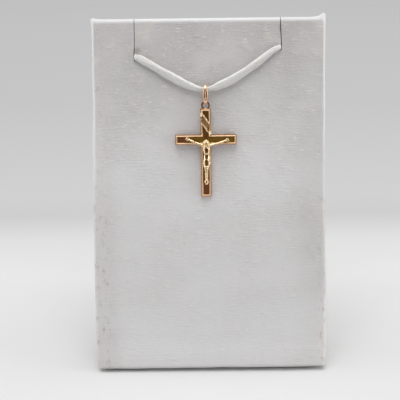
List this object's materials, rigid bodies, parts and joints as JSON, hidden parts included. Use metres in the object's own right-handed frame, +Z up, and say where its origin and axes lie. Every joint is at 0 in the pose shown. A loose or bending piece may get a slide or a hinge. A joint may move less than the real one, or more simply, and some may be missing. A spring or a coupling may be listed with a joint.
{
  "type": "crucifix pendant on display stand",
  "caption": "Small two-tone gold crucifix pendant hanging by its leaf bail from a white ribbon on a leaning white display board with an easel leg.",
  "frame": {"origin": "on the surface that the stand rests on, under the middle of the stand's box", "axes": "+Z up, +X to the viewer's right, -Y towards the viewer"},
  "size_m": [0.0686, 0.04, 0.1037],
  "materials": {
    "leatherette": "white leatherette with fine short horizontal grain, lightly soiled",
    "card": "white paper-covered card",
    "ribbon": "soft white ribbon, gathered",
    "rose_gold": "polished rose gold with a dark brown patinated field",
    "yellow_gold": "polished yellow gold, darker in the folds",
    "pale_gold": "worn yellow gold"
  },
  "bodies": {
    "stand": {"display_panel": "leatherette", "easel_leg": "card", "ribbon": "ribbon"},
    "bail": {"bail": "rose_gold"},
    "cross": {"cross": "rose_gold", "corpus": "yellow_gold", "scroll": "pale_gold"}
  },
  "joints": [
    {"name": "bail_swing", "type": "hinge", "parent": "stand", "child": "bail", "pos_m": [-0.0011, -0.00421, 0.08365], "axis": [-1, 0, 0], "range_deg": [0, 150]},
    {"name": "cross_swing", "type": "hinge", "parent": "bail", "child": "cross", "pos_m": [-0.0011, -0.00509, 0.07952], "axis": [0, -0.9841, 0.1777], "range_deg": [-45, 45]}
  ]
}
